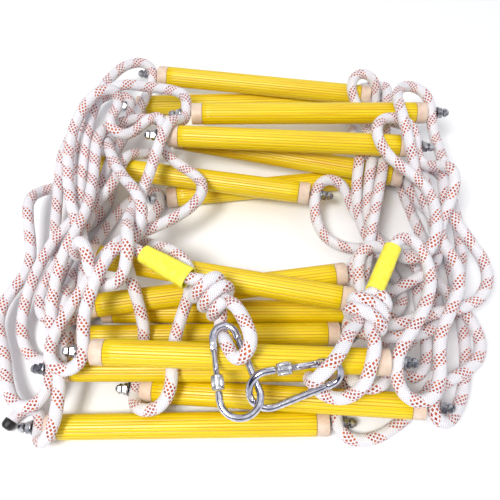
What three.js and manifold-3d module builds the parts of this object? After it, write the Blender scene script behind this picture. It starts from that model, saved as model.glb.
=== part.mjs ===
// Escape rope ladder, folded into two stacks of rungs with its two hanging ropes gathered at the sides.
// Units are millimetres. +X runs along the rungs, +Y to the back stack, +Z up; the ladder lies on z = 0.
import * as THREE from 'three';
import { mergeVertices } from 'three/addons/utils/BufferGeometryUtils.js';
import Module from 'manifold-3d';

const RUNG_LENGTH = 290;
const RUNG_RADIUS = 13;
const RUNG_SIDES = 12;
const STUB_SIDES = 8;
const TUBE_WALL = 2.2;
const PLUG_COLLAR = 13;
const PLUG_STUB = 12;
const GAP = 0.4;
const TOUCH = 0.2;
const ROPE_RADIUS = 6.5;
const ROPE_SIDES = 8;
const STEP_SPACING = 425;
const ROPE_SEGMENT = 12.5;
const TAIL_LENGTH = 62.5;
const SHANK_RADIUS = 2.8;
const BOLT_REACH = 29;
const BOLT_RADIUS = 6.2;
const BOLT_NUT = 8;
const BOLT_DOME = 4.4;
const SLEEVE_START = 2;
const SLEEVE_LENGTH = 57;
const SLEEVE_BORE = 7.4;
const LEFT_SLEEVE_HALF = [12.4, 8.8];
const RIGHT_SLEEVE_HALF = [9.4, 9.2];
const WIRE_RADIUS = 3.6;
const NARROW_BOW = 11.5;
const WIDE_BOW = 19;
const BOW_SPACING = 57;
const GATE_RADIUS = 3.2;
const GATE_START = 4;
const NOSE_AT = 49;
const FORK = [10, 7, 7.8];
const FORK_SETBACK = 0.8;
const FORK_SLOT = [13, 9, 3.8];
const SLOT_SETBACK = 3.4;
const TONGUE = [7, 5, 3];
const PIN_RADIUS = 1.2;
const PIN_SIDES = 10;
const NUT_RADIUS = 5.8;
const NUT_LENGTH = 14;
const SLEEVE_SIDES = 14;
const KNOT_SIDES = 14;
const KNOT_ROWS = 9;
const EYE_STEPS = 20;
const SAG = 0.03;
const STIFFNESS = 0.25;
const TIGHTEST_SPAN = 23;
const SETTLE_ROUNDS = 500;
const LONGEST_STEP = 3;
const STRAIGHT_ENOUGH = 2.2;
const LEAST_DISTANCE = 13.15;
const SHORTCUT_ALLOWANCE = 0.6;
const REFINE_ROUNDS = 4;
const KNOT_CLEARANCE = 30;

const YELLOW = 0xf5d90f;
const CREAM = 0xf0e0d0;
const WHITE = 0xe9e6f0;
const LEMON = 0xfff046;
const STEEL = 0xb9bcc4;
const DULL_STEEL = 0xa9acb4;
const DARK_STEEL = 0x8d9098;

// Rungs from the top of the ladder down: centre, turn about Z and slope, in degrees.
const RUNGS = [
  { at: [-10, -166, 79.6], yaw: -2.1, slope: 0 },
  { at: [46, 105, 79.4], yaw: -3.2, slope: 0 },
  { at: [-34, -72, 66.4], yaw: -10.7, slope: 0 },
  { at: [73, 152, 76], yaw: 0.3, slope: 0 },
  { at: [-36, -74, 39.7], yaw: 8, slope: 0 },
  { at: [18, 236, 39.7], yaw: -7.6, slope: 0 },
  { at: [-22, -88, 13], yaw: 0, slope: 0 },
  { at: [-12, 230, 13], yaw: 2, slope: 0 },
  { at: [-46, -117, 13], yaw: 0.8, slope: 0 },
  { at: [46, 112, 39.7], yaw: -12, slope: 0 },
  { at: [-52, -164.5, 39.7], yaw: 0, slope: 0 },
  { at: [-71, 79, 39.7], yaw: -9.1, slope: 0 },
  { at: [30, -192, 29.6], yaw: -5.2, slope: 5.9 },
  { at: [39, 87, 13], yaw: 7, slope: 0 },
  { at: [-64, -215.3, 13], yaw: 0.8, slope: 0 },
];

// How each rope crosses each rung end, from the top rung down: `tilt` is its climb in degrees. One of its
// two runs bends back there, the one that leaves downwards unless `arrives` is set. `fold` is -1 where it
// folds in over the rung and 1 where it swings outwards, `reach` is how wide and `lift` how high.
const LEFT_TURNS = [
  { tilt: -35, fold: 1, reach: 24, lift: -6 },
  { tilt: 30, fold: 1, reach: 40, lift: 16 },
  { tilt: 20, fold: -1, reach: 22, lift: 28 },
  { tilt: 30, fold: 1, reach: 50, lift: 24 },
  { tilt: 0, fold: 1, reach: 22, lift: 0 },
  { tilt: 30, fold: 1, reach: 32, lift: 30 },
  { tilt: 45, fold: 1, reach: 22, lift: 34 },
  { tilt: 20, fold: 1, reach: 30, lift: 24 },
  { tilt: 0, fold: 1, reach: 22, lift: 4 },
  { tilt: 20, fold: 1, reach: 36, lift: 18 },
  { tilt: -10, fold: 1, reach: 26, lift: 0 },
  { tilt: 45, fold: -1, reach: 22, lift: 30 },
  { tilt: 0, fold: -1, reach: 28, lift: 26 },
  { tilt: 0, fold: 1, reach: 22, lift: 0 },
  { tilt: 0, fold: -1, reach: 24, lift: 24, arrives: true },
];
const RIGHT_TURNS = [
  { tilt: -35, fold: 1, reach: 22, lift: -4 },
  { tilt: 50, fold: -1, reach: 20, lift: 24 },
  { tilt: 0, fold: 1, reach: 22, lift: 4 },
  { tilt: 40, fold: -1, reach: 20, lift: 24 },
  { tilt: 0, fold: 1, reach: 18, lift: 0 },
  { tilt: 45, fold: -1, reach: 18, lift: 26 },
  { tilt: 45, fold: 1, reach: 22, lift: 26 },
  { tilt: 25, fold: 1, reach: 20, lift: 30 },
  { tilt: -20, fold: 1, reach: 20, lift: 2 },
  { tilt: 0, fold: 1, reach: 22, lift: 2 },
  { tilt: 55, fold: 1, reach: 18, lift: 20 },
  { tilt: 0, fold: 1, reach: 20, lift: 0 },
  { tilt: 0, fold: 1, reach: 26, lift: -4 },
  { tilt: 0, fold: 1, reach: 24, lift: 0, arrives: true },
  { tilt: 0, fold: 1, reach: 30, lift: -4, arrives: true },
];

// Where each run passes between the stacks, from the top of the ladder down, listed from back to front.
const LEFT_RUNS = [
  [[-80, 90, 80], [-48, 76, 80], [-44, 44, 76], [-92, 4, 76], [-136, -52, 94], [-180, -112, 88]],
  [[-150, 172, 98], [-205, 132, 108], [-206, 40, 92], [-192, -10, 76]],
  [[-92, 112, 78], [-120, 60, 78], [-136, 0, 90], [-122, -60, 98], [-146, -112, 92]],
  [[-150, 190, 100], [-190, 138, 98], [-200, 50, 78], [-203, -40, 60]],
  [[-165, 150, 48], [-190, 40, 52], [-215, -60, 46]],
  [[-178, 258, 70], [-212, 196, 80], [-220, 100, 70], [-218, 0, 50], [-206, -60, 26]],
  [[-184, 160, 16], [-190, 60, 18], [-230, -40, 32]],
  [[-222, 200, 42], [-238, 110, 44], [-230, 0, 30], [-226, -90, 20]],
  [[-150, 100, 62], [-165, 50, 64], [-226, -20, 46], [-254, -110, 30]],
  [[-182, 140, 76], [-180, 60, 72], [-196, -40, 76], [-226, -120, 56]],
  [[-250, 50, 44], [-260, -40, 40], [-256, -140, 34]],
  [[-190, 115, 70], [-150, 50, 80], [-112, -20, 94], [-112, -62, 96], [-112, -120, 50], [-116, -150, 14]],
  [
    [-150, 40, 14], [-146, 0, 40], [-92, -34, 84], [-84, -66, 98], [-84, -120, 70], [-84, -164, 60],
    [-88, -196, 48],
  ],
  [[-172, 50, 14], [-206, -50, 34], [-198, -130, 56], [-192, -170, 60]],
];
const RIGHT_RUNS = [
  [[214, 62, 92], [206, -20, 88], [200, -100, 86]],
  [[170, 72, 96], [196, 20, 92], [184, -36, 88], [140, -52, 80]],
  [[224, 90, 90], [214, 22, 82], [244, -14, 72], [262, -54, 64], [236, -98, 62], [176, -106, 66]],
  [[186, 116, 102], [196, 50, 84], [190, -10, 66], [150, -30, 50]],
  [[192, 170, 50], [205, 100, 60], [208, 20, 54], [186, -50, 46]],
  [[150, 190, 56], [150, 150, 56], [148, 98, 60], [140, 20, 42], [152, -50, 20]],
  [[138, 190, 20], [132, 140, 44], [128, 98, 60], [135, 20, 40], [165, -60, 26]],
  [[172, 215, 60], [167, 151, 56], [166, 97, 60], [150, 20, 46], [118, -60, 42]],
  [[208, 30, 34], [204, -40, 24], [190, -110, 14], [160, -150, 10]],
  [[240, 60, 40], [240, -30, 42], [204, -100, 50], [150, -140, 54]],
  [[95, 22, 34], [140, -10, 32], [182, -60, 42], [176, -120, 50], [136, -150, 54]],
  [[125, 34, 38], [160, 0, 30], [218, -70, 30], [232, -140, 40]],
  [[236, 30, 14], [244, -80, 14], [240, -180, 26]],
  [[215, 40, 12], [225, -60, 12], [215, -150, 10], [165, -222, 8]],
];

// The top of each rope from its knot to the first rung: the sleeve's two ends, then the bends after it.
const LEFT_LEAD = {
  sleeve: [[-60, -92, 100], [-112, -60, 98]],
  bends: [[-140, -64, 94], [-158, -92, 96]],
  links: 16,
};
const RIGHT_LEAD = {
  sleeve: [[123, -106, 98], [150, -50, 96]],
  bends: [[178, -44, 94], [198, -80, 94], [182, -135, 94]],
  links: 19,
};

// The tied ends: where each knot sits, its half width and height, and the eye that holds the carabiner.
const LEFT_HITCH = {
  knot: [-36, -108, 97],
  size: [23, 18],
  eye: [
    [-28, -104, 104], [-14, -126, 112], [-4, -146, 117], [1, -162, 119], [-2, -174, 116],
    [-11, -179, 107.5], [-18, -170, 102.4], [-23.7, -156.3, 98.6], [-27, -146, 87], [-30, -134, 81],
    [-35, -122, 83], [-40, -112, 92],
  ],
};
const RIGHT_HITCH = {
  knot: [114, -128, 97],
  size: [21, 18],
  eye: [
    [104, -132, 104], [94, -152, 110], [85, -170, 118], [76, -184, 121], [65, -195, 118], [57, -200, 108],
    [55.5, -193.5, 96], [56.5, -189, 86], [61, -192, 74], [72, -200, 67], [86, -204, 69], [98, -202, 77],
    [108, -194, 90], [114, -177, 102], [118, -158, 103], [120, -140, 95],
  ],
};

// Carabiners: centre of the narrow bow, the way to the wide bow and the side its gate is on.
const LEFT_LINK = { at: [-24, -154, 100], along: [15, -55, -10], gate: [-1, 0, 0] };
const RIGHT_LINK = { at: [73, -188, 96], along: [-56, -14, -5], gate: [-0.16, 0.68, 0.72] };

const SLEEVE_LINKS = 5;

const wasm = await Module();
wasm.setup();

function rungFrame(rung) {
  const slope = THREE.MathUtils.degToRad(rung.slope);
  const yaw = THREE.MathUtils.degToRad(rung.yaw);
  const turn = new THREE.Euler(0, -slope, yaw, 'ZYX');
  const rotation = new THREE.Matrix4().makeRotationFromEuler(turn);
  const along = new THREE.Vector3(1, 0, 0).applyMatrix4(rotation);
  const across = new THREE.Vector3(0, 1, 0).applyMatrix4(rotation);
  const up = new THREE.Vector3(0, 0, 1).applyMatrix4(rotation);
  const centre = new THREE.Vector3(...rung.at);
  const matrix = rotation.clone().setPosition(centre);
  return { centre, along, across, up, matrix };
}

const FRAMES = RUNGS.map(rungFrame);

// One rope chain: fixed clamp links at every rung end, free links between them.
function clampAt(index, side, table) {
  const frame = FRAMES[index];
  const front = index % 2 === 0;
  const away = front ? -1 : 1;
  const entry = table[index];
  const heading = entry.arrives ? -away : away;
  const tilt = THREE.MathUtils.degToRad(entry.tilt);
  const direction = frame.across.clone().multiplyScalar(heading * Math.cos(tilt));
  direction.addScaledVector(frame.up, Math.sin(tilt));
  const reach = RUNG_LENGTH / 2 + GAP + ROPE_RADIUS;
  const point = frame.centre.clone().addScaledVector(frame.along, side * reach);
  return { point, direction, entry, awayVector: frame.across.clone().multiplyScalar(away), outward: side };
}

function turnPoints(clamp) {
  const { point, entry, awayVector, outward } = clamp;
  const leave = awayVector.clone().setZ(clamp.direction.z * Math.sign(clamp.direction.dot(awayVector)));
  const sideways = new THREE.Vector3(outward * entry.fold, 0, 0);
  const r = entry.reach;
  const first = point.clone().addScaledVector(leave, 14);
  const second = point.clone().addScaledVector(awayVector, r).addScaledVector(sideways, r * 0.7);
  second.z += entry.lift * 0.5;
  const third = point.clone().addScaledVector(sideways, r * 1.5);
  third.z += entry.lift;
  return [first, second, third];
}

function linkEnd(clamp, sense) {
  return clamp.point.clone().addScaledVector(clamp.direction, sense * ROPE_SEGMENT / 2);
}

function initialRun(upper, lower, route, links) {
  const between = route.map((point) => new THREE.Vector3(...point));
  if (upper.point.y < lower.point.y) {
    between.reverse();
  }
  const start = upper.entry.arrives ? [] : turnPoints(upper);
  const end = lower.entry.arrives ? turnPoints(lower).reverse() : [];
  const stops = [linkEnd(upper, 1), ...start, ...between, ...end, linkEnd(lower, -1)];
  return new THREE.CatmullRomCurve3(stops, false, 'centripetal').getSpacedPoints(links);
}

function leadPoints(lead, clamp) {
  const [from, to] = lead.sleeve.map((point) => new THREE.Vector3(...point));
  const along = to.clone().sub(from).normalize();
  const sleeve = [];
  for (let step = 0; step <= SLEEVE_LINKS; step += 1) {
    sleeve.push(from.clone().addScaledVector(along, step * ROPE_SEGMENT));
  }
  const bends = lead.bends.map((point) => new THREE.Vector3(...point));
  const stops = [sleeve[SLEEVE_LINKS], ...bends, linkEnd(clamp, -1)];
  const curve = new THREE.CatmullRomCurve3(stops, false, 'centripetal');
  const free = curve.getSpacedPoints(lead.links - SLEEVE_LINKS).slice(1);
  return [...sleeve, ...free];
}

function buildChain(side, table, runs, lead) {
  const clamps = RUNGS.map((_, index) => clampAt(index, side, table));
  const points = leadPoints(lead, clamps[0]);
  const pinned = points.map((_, step) => step <= SLEEVE_LINKS || step === points.length - 1);
  const links = Math.round(STEP_SPACING / ROPE_SEGMENT) - 1;
  for (let index = 0; index + 1 < clamps.length; index += 1) {
    const run = initialRun(clamps[index], clamps[index + 1], runs[index], links);
    run.forEach((point, step) => {
      points.push(point);
      pinned.push(step === 0 || step === links);
    });
  }
  const last = clamps[clamps.length - 1];
  for (let step = 0; step < Math.round(TAIL_LENGTH / ROPE_SEGMENT); step += 1) {
    const point = linkEnd(last, 2 * step + 1);
    point.x += side * step * 6;
    points.push(point);
    pinned.push(step === 0);
  }
  return { points, pinned };
}

// The ropes are settled by moving every free point until links keep their length, bends stay gentle and
// no two surfaces press into each other. State arrays hold x, y, z of every point, one chain after another.
const ROPE_CLEARANCE = 2 * ROPE_RADIUS + 1.4;
const RUNG_CLEARANCE = RUNG_RADIUS + ROPE_RADIUS + 0.9;
const BOLT_CLEARANCE = BOLT_RADIUS + ROPE_RADIUS + 1.2;
const SLEEVE_CLEARANCE = LEFT_SLEEVE_HALF[0] + ROPE_RADIUS + 0.8;
const NEIGHBOUR_RANGE = 34;

function clamp01(value) {
  return Math.min(1, Math.max(0, value));
}

// Closest points of two segments, as fractions along each; a, b, c, d are offsets into the state arrays.
function closestFractions(p, a, b, q, c, d) {
  const u = [p[b] - p[a], p[b + 1] - p[a + 1], p[b + 2] - p[a + 2]];
  const v = [q[d] - q[c], q[d + 1] - q[c + 1], q[d + 2] - q[c + 2]];
  const w = [p[a] - q[c], p[a + 1] - q[c + 1], p[a + 2] - q[c + 2]];
  const uu = u[0] * u[0] + u[1] * u[1] + u[2] * u[2];
  const vv = v[0] * v[0] + v[1] * v[1] + v[2] * v[2];
  const uv = u[0] * v[0] + u[1] * v[1] + u[2] * v[2];
  const uw = u[0] * w[0] + u[1] * w[1] + u[2] * w[2];
  const vw = v[0] * w[0] + v[1] * w[1] + v[2] * w[2];
  const scale = uu * vv - uv * uv;
  const guess = scale > 1e-9 ? clamp01((uv * vw - vv * uw) / scale) : 0.5;
  const t = clamp01((uv * guess + vw) / vv);
  const s = clamp01((uv * t - uw) / uu);
  return [s, t];
}

function packState(chainList) {
  const total = chainList.reduce((sum, chain) => sum + chain.points.length, 0);
  const p = new Float64Array(total * 3);
  const free = new Float64Array(total);
  const chainOf = new Int32Array(total);
  let index = 0;
  chainList.forEach((chain, number) => {
    chain.points.forEach((point, step) => {
      point.toArray(p, index * 3);
      free[index] = chain.pinned[step] ? 0 : 1;
      chainOf[index] = number;
      index += 1;
    });
  });
  return { p, free, chainOf, total };
}

function linkPairs(state) {
  const { p, chainOf, total } = state;
  const links = [];
  for (let i = 0; i + 1 < total; i += 1) {
    if (chainOf[i] === chainOf[i + 1]) {
      links.push(i);
    }
  }
  const pairs = [];
  for (let m = 0; m < links.length; m += 1) {
    const i = links[m];
    for (let n = m + 4; n < links.length; n += 1) {
      const j = links[n];
      const dx = p[3 * i] - p[3 * j];
      const dy = p[3 * i + 1] - p[3 * j + 1];
      const dz = p[3 * i + 2] - p[3 * j + 2];
      if (dx * dx + dy * dy + dz * dz < NEIGHBOUR_RANGE * NEIGHBOUR_RANGE) {
        pairs.push(i, j);
      }
    }
  }
  return { links, pairs };
}

function keepLengths(state, links) {
  const { p, free } = state;
  for (const i of links) {
    const a = 3 * i;
    const b = a + 3;
    const share = free[i] + free[i + 1];
    if (share === 0) {
      continue;
    }
    const dx = p[b] - p[a];
    const dy = p[b + 1] - p[a + 1];
    const dz = p[b + 2] - p[a + 2];
    const length = Math.sqrt(dx * dx + dy * dy + dz * dz);
    const pull = (length - ROPE_SEGMENT) / length / share;
    p[a] += dx * pull * free[i];
    p[a + 1] += dy * pull * free[i];
    p[a + 2] += dz * pull * free[i];
    p[b] -= dx * pull * free[i + 1];
    p[b + 1] -= dy * pull * free[i + 1];
    p[b + 2] -= dz * pull * free[i + 1];
  }
}

function limitBends(state, closest) {
  const { p, free, chainOf, total } = state;
  for (let i = 1; i + 1 < total; i += 1) {
    if (chainOf[i - 1] !== chainOf[i + 1]) {
      continue;
    }
    const a = 3 * (i - 1);
    const b = 3 * (i + 1);
    const share = free[i - 1] + free[i + 1];
    const dx = p[b] - p[a];
    const dy = p[b + 1] - p[a + 1];
    const dz = p[b + 2] - p[a + 2];
    const span = Math.sqrt(dx * dx + dy * dy + dz * dz);
    if (span >= closest || share === 0) {
      continue;
    }
    const push = (closest - span) / span / share * 0.5;
    p[a] -= dx * push * free[i - 1];
    p[a + 1] -= dy * push * free[i - 1];
    p[a + 2] -= dz * push * free[i - 1];
    p[b] += dx * push * free[i + 1];
    p[b + 1] += dy * push * free[i + 1];
    p[b + 2] += dz * push * free[i + 1];
  }
}

function straighten(state, amount) {
  const { p, free, chainOf, total } = state;
  const before = p.slice();
  for (let i = 2; i + 2 < total; i += 1) {
    if (free[i] === 0 || chainOf[i - 2] !== chainOf[i + 2]) {
      continue;
    }
    for (let axis = 0; axis < 3; axis += 1) {
      const k = 3 * i + axis;
      const fair = (4 * before[k - 3] + 4 * before[k + 3] - before[k - 6] - before[k + 6]) / 6;
      p[k] += (fair - before[k]) * amount;
    }
  }
}

function separateLinks(state, pairs) {
  const { p, free } = state;
  for (let n = 0; n < pairs.length; n += 2) {
    const i = pairs[n];
    const j = pairs[n + 1];
    const a = 3 * i;
    const c = 3 * j;
    const [s, t] = closestFractions(p, a, a + 3, p, c, c + 3);
    const gap = [0, 1, 2].map((axis) => p[a + axis] * (1 - s) + p[a + 3 + axis] * s
      - p[c + axis] * (1 - t) - p[c + 3 + axis] * t);
    const distance = Math.hypot(gap[0], gap[1], gap[2]);
    if (distance >= ROPE_CLEARANCE || distance < 1e-6) {
      continue;
    }
    const weights = [(1 - s) * free[i], s * free[i + 1], (1 - t) * free[j], t * free[j + 1]];
    const share = weights[0] * (1 - s) + weights[1] * s + weights[2] * (1 - t) + weights[3] * t;
    if (share < 0.05) {
      continue;
    }
    const push = (ROPE_CLEARANCE - distance) / distance / share;
    for (let axis = 0; axis < 3; axis += 1) {
      p[a + axis] += gap[axis] * push * weights[0];
      p[a + 3 + axis] += gap[axis] * push * weights[1];
      p[c + axis] -= gap[axis] * push * weights[2];
      p[c + 3 + axis] -= gap[axis] * push * weights[3];
    }
  }
}

function separateObstacles(state, links, obstacles) {
  const { p, free } = state;
  for (const i of links) {
    const a = 3 * i;
    if (free[i] * free[i + 1] === 0) {
      continue;
    }
    for (const { ends, low, high, clearance } of obstacles) {
      if (p[a] < low[0] || p[a] > high[0] || p[a + 1] < low[1] || p[a + 1] > high[1]
        || p[a + 2] < low[2] || p[a + 2] > high[2]) {
        continue;
      }
      const [s, t] = closestFractions(p, a, a + 3, ends, 0, 3);
      const gap = [0, 1, 2].map((axis) => p[a + axis] * (1 - s) + p[a + 3 + axis] * s
        - ends[axis] * (1 - t) - ends[3 + axis] * t);
      const distance = Math.hypot(gap[0], gap[1], gap[2]);
      const weights = [(1 - s) * free[i], s * free[i + 1]];
      const share = weights[0] * (1 - s) + weights[1] * s;
      if (distance >= clearance || distance < 1e-6 || share < 1e-6) {
        continue;
      }
      const push = Math.min(clearance - distance, 4) / distance / share;
      for (let axis = 0; axis < 3; axis += 1) {
        p[a + axis] += gap[axis] * push * weights[0];
        p[a + 3 + axis] += gap[axis] * push * weights[1];
      }
    }
  }
}

function obstacle(from, to, clearance) {
  const ends = [...from.toArray(), ...to.toArray()];
  const margin = clearance + 2 * ROPE_SEGMENT;
  const low = [0, 1, 2].map((axis) => Math.min(ends[axis], ends[axis + 3]) - margin);
  const high = [0, 1, 2].map((axis) => Math.max(ends[axis], ends[axis + 3]) + margin);
  return { ends, low, high, clearance };
}

function rungObstacles() {
  const list = [];
  for (const { centre, along } of FRAMES) {
    const half = RUNG_LENGTH / 2 - RUNG_RADIUS * 0.3;
    const left = centre.clone().addScaledVector(along, -half);
    const right = centre.clone().addScaledVector(along, half);
    list.push(obstacle(left, right, RUNG_CLEARANCE));
    for (const side of [-1, 1]) {
      const face = RUNG_LENGTH / 2 + GAP + 2 * ROPE_RADIUS + BOLT_RADIUS;
      const tip = RUNG_LENGTH / 2 + BOLT_REACH - BOLT_RADIUS * 0.5;
      const inner = centre.clone().addScaledVector(along, side * face);
      const outer = centre.clone().addScaledVector(along, side * tip);
      list.push(obstacle(inner, outer, BOLT_CLEARANCE));
    }
  }
  return list;
}

function hitchObstacles() {
  const list = [];
  for (const lead of [LEFT_LEAD, RIGHT_LEAD]) {
    const [from, to] = lead.sleeve.map((point) => new THREE.Vector3(...point));
    const along = to.clone().sub(from).normalize();
    const outer = from.clone().addScaledVector(along, SLEEVE_LENGTH);
    list.push(obstacle(from, outer, SLEEVE_CLEARANCE));
  }
  for (const { knot, eye } of [LEFT_HITCH, RIGHT_HITCH]) {
    const centre = new THREE.Vector3(...knot);
    list.push(obstacle(centre, centre.clone().setX(knot[0] + 0.01), KNOT_CLEARANCE));
    for (let index = 0; index + 1 < eye.length; index += 1) {
      const from = new THREE.Vector3(...eye[index]);
      list.push(obstacle(from, new THREE.Vector3(...eye[index + 1]), ROPE_CLEARANCE));
    }
  }
  return list;
}

function settle(chainList, obstacles, rounds) {
  const state = packState(chainList);
  const { p, free, total } = state;
  let near = linkPairs(state);
  for (let round = 0; round < rounds; round += 1) {
    const settling = round < rounds * 0.75;
    if (round % 8 === 0) {
      near = linkPairs(state);
    }
    if (settling) {
      for (let i = 0; i < total; i += 1) {
        p[3 * i + 2] -= SAG * free[i];
      }
      straighten(state, STIFFNESS);
    }
    for (let pass = 0; pass < 4; pass += 1) {
      keepLengths(state, near.links);
      limitBends(state, TIGHTEST_SPAN);
      separateLinks(state, near.pairs);
      separateObstacles(state, near.links, obstacles);
      for (let i = 0; i < total; i += 1) {
        if (free[i]) {
          p[3 * i + 2] = Math.max(p[3 * i + 2], ROPE_RADIUS + 0.3);
        }
      }
    }
  }
  let index = 0;
  return chainList.map((chain) => chain.points.map(() => {
    const point = new THREE.Vector3().fromArray(p, index * 3);
    index += 1;
    return point;
  }));
}

const chains = [
  buildChain(-1, LEFT_TURNS, LEFT_RUNS, LEFT_LEAD),
  buildChain(1, RIGHT_TURNS, RIGHT_RUNS, RIGHT_LEAD),
];
const obstacles = [...rungObstacles(), ...hitchObstacles()];
const routes = settle(chains, obstacles, SETTLE_ROUNDS);

// Solid modelling helpers.
class Route extends THREE.Curve {
  constructor(points) {
    super();
    this.points = points;
  }

  getPoint(t, target = new THREE.Vector3()) {
    const place = clamp01(t) * (this.points.length - 1);
    const index = Math.min(Math.floor(place), this.points.length - 2);
    return target.lerpVectors(this.points[index], this.points[index + 1], place - index);
  }

  getUtoTmapping(u) {
    return u;
  }
}

function regularShape(sides, flatRadius) {
  const corner = flatRadius / Math.cos(Math.PI / sides);
  const corners = [];
  for (let n = 0; n < sides; n += 1) {
    const angle = 2 * Math.PI * (n + 0.5) / sides;
    corners.push(new THREE.Vector2(corner * Math.cos(angle), corner * Math.sin(angle)));
  }
  return new THREE.Shape(corners);
}

function regularHole(sides, flatRadius) {
  return new THREE.Path(regularShape(sides, flatRadius).getPoints().reverse());
}

function cordGeometry(points, radius, sides) {
  const section = regularShape(sides, radius * Math.cos(Math.PI / sides));
  const path = new Route(points);
  return new THREE.ExtrudeGeometry(section, { steps: points.length - 1, extrudePath: path });
}

// A prism along +X whose section lies in the YZ plane.
function prismAlongX(section, from, to) {
  const geometry = new THREE.ExtrudeGeometry(section, { depth: to - from, bevelEnabled: false });
  geometry.rotateY(Math.PI / 2);
  geometry.rotateX(Math.PI / 2);
  geometry.translate(from, 0, 0);
  return geometry;
}

function toSolid(geometry) {
  const bare = geometry.clone();
  bare.deleteAttribute('normal');
  bare.deleteAttribute('uv');
  const merged = mergeVertices(bare, 1e-4);
  const vertProperties = new Float32Array(merged.attributes.position.array);
  const triVerts = new Uint32Array(merged.index.array);
  return new wasm.Manifold(new wasm.Mesh({ numProp: 3, vertProperties, triVerts }));
}

function toGeometry(solid) {
  const mesh = solid.getMesh();
  const geometry = new THREE.BufferGeometry();
  geometry.setAttribute('position', new THREE.BufferAttribute(new Float32Array(mesh.vertProperties), 3));
  geometry.setIndex(new THREE.BufferAttribute(new Uint32Array(mesh.triVerts), 1));
  geometry.computeVertexNormals();
  return geometry;
}

const group = new THREE.Group();

function addPiece(name, geometry, colour, roughness, metalness) {
  const material = new THREE.MeshStandardMaterial({ color: colour, roughness, metalness });
  const mesh = new THREE.Mesh(geometry, material);
  mesh.name = name;
  group.add(mesh);
}

// Rungs: a hollow ribbed-resin tube with a moulded plug and a through-bolt at each end.
function rungTube() {
  const section = regularShape(RUNG_SIDES, RUNG_RADIUS);
  section.holes.push(regularHole(RUNG_SIDES, RUNG_RADIUS - TUBE_WALL));
  const half = RUNG_LENGTH / 2 - PLUG_COLLAR - GAP;
  return prismAlongX(section, -half, half);
}

function boltGeometry() {
  const ropeOuter = GAP * 2 + 2 * ROPE_RADIUS;
  const profile = [
    [0, -2],
    [SHANK_RADIUS, -2],
    [SHANK_RADIUS, ropeOuter],
    [BOLT_RADIUS, ropeOuter],
    [BOLT_RADIUS, ropeOuter + BOLT_NUT],
    [BOLT_DOME, ropeOuter + BOLT_NUT],
    [BOLT_DOME, BOLT_REACH],
    [0, BOLT_REACH],
  ];
  const geometry = new THREE.LatheGeometry(profile.map(([x, y]) => new THREE.Vector2(x, y)), 6);
  geometry.rotateZ(-Math.PI / 2);
  return geometry;
}

function plugGeometry() {
  const face = RUNG_LENGTH / 2;
  const collar = toSolid(prismAlongX(regularShape(RUNG_SIDES, RUNG_RADIUS), face - PLUG_COLLAR, face));
  const stubCorner = RUNG_RADIUS - TUBE_WALL - GAP;
  const stubSection = regularShape(STUB_SIDES, stubCorner * Math.cos(Math.PI / STUB_SIDES));
  const stub = toSolid(prismAlongX(stubSection, face - PLUG_COLLAR - PLUG_STUB, face - PLUG_COLLAR + 1));
  const bolt = toSolid(boltGeometry().translate(face, 0, 0));
  return toGeometry(collar.add(stub).add(bolt));
}

const tubeShape = rungTube();
const plugShape = plugGeometry();
FRAMES.forEach(({ matrix }, index) => {
  const number = String(index + 1).padStart(2, '0');
  addPiece(`rung_${number}_tube`, tubeShape.clone().applyMatrix4(matrix), YELLOW, 0.45, 0);
  const flip = new THREE.Matrix4().makeRotationZ(Math.PI);
  const right = plugShape.clone().applyMatrix4(matrix);
  const left = plugShape.clone().applyMatrix4(flip).applyMatrix4(matrix);
  addPiece(`rung_${number}_plug_left`, left, CREAM, 0.5, 0);
  addPiece(`rung_${number}_plug_right`, right, CREAM, 0.5, 0);
});

// Ropes: a link is dropped where the line stays straight enough without it, and put back where that
// shortcut would bring it too close to something else.
function keptLinks(points, fixed) {
  const kept = [0];
  let index = 0;
  while (index < points.length - 1) {
    let next = index + 1;
    for (let reach = LONGEST_STEP; reach > 1; reach -= 1) {
      if (index + reach < points.length && staysStraight(points, fixed, index, index + reach)) {
        next = index + reach;
        break;
      }
    }
    kept.push(next);
    index = next;
  }
  return kept;
}

function staysStraight(points, fixed, from, to) {
  const chord = new THREE.Line3(points[from], points[to]);
  const nearest = new THREE.Vector3();
  for (let middle = from + 1; middle < to; middle += 1) {
    chord.closestPointToPoint(points[middle], true, nearest);
    if (fixed[middle] || nearest.distanceTo(points[middle]) > STRAIGHT_ENOUGH) {
      return false;
    }
  }
  return true;
}

function spansOf(kept, number) {
  return kept.slice(1).map((to, step) => {
    const from = kept[step];
    const ends = [...routes[number][from].toArray(), ...routes[number][to].toArray()];
    return { number, from, to, ends };
  });
}

function segmentDistance(first, second) {
  const [s, t] = closestFractions(first, 0, 3, second, 0, 3);
  const gap = [0, 1, 2].map((axis) => first[axis] * (1 - s) + first[3 + axis] * s
    - second[axis] * (1 - t) - second[3 + axis] * t);
  return Math.hypot(...gap);
}

function putBack(span, fixed) {
  for (let middle = span.from + 1; middle < span.to; middle += 1) {
    fixed[span.number][middle] = true;
  }
}

function refine(spans, fixed) {
  spans.forEach((span, order) => {
    for (const { ends, clearance } of obstacles) {
      if (segmentDistance(span.ends, ends) < clearance - SHORTCUT_ALLOWANCE) {
        putBack(span, fixed);
      }
    }
    for (const other of spans.slice(order + 1)) {
      const neighbours = span.number === other.number && other.from - span.to < LONGEST_STEP;
      if (!neighbours && segmentDistance(span.ends, other.ends) < LEAST_DISTANCE) {
        putBack(span, fixed);
        putBack(other, fixed);
      }
    }
  });
}

function thinRoutes() {
  const fixed = chains.map(({ pinned }) => [...pinned]);
  for (let round = 0; round < REFINE_ROUNDS; round += 1) {
    const spans = routes.flatMap((points, number) => spansOf(keptLinks(points, fixed[number]), number));
    refine(spans, fixed);
  }
  return routes.map((points, number) => keptLinks(points, fixed[number]).map((index) => points[index]));
}

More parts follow.
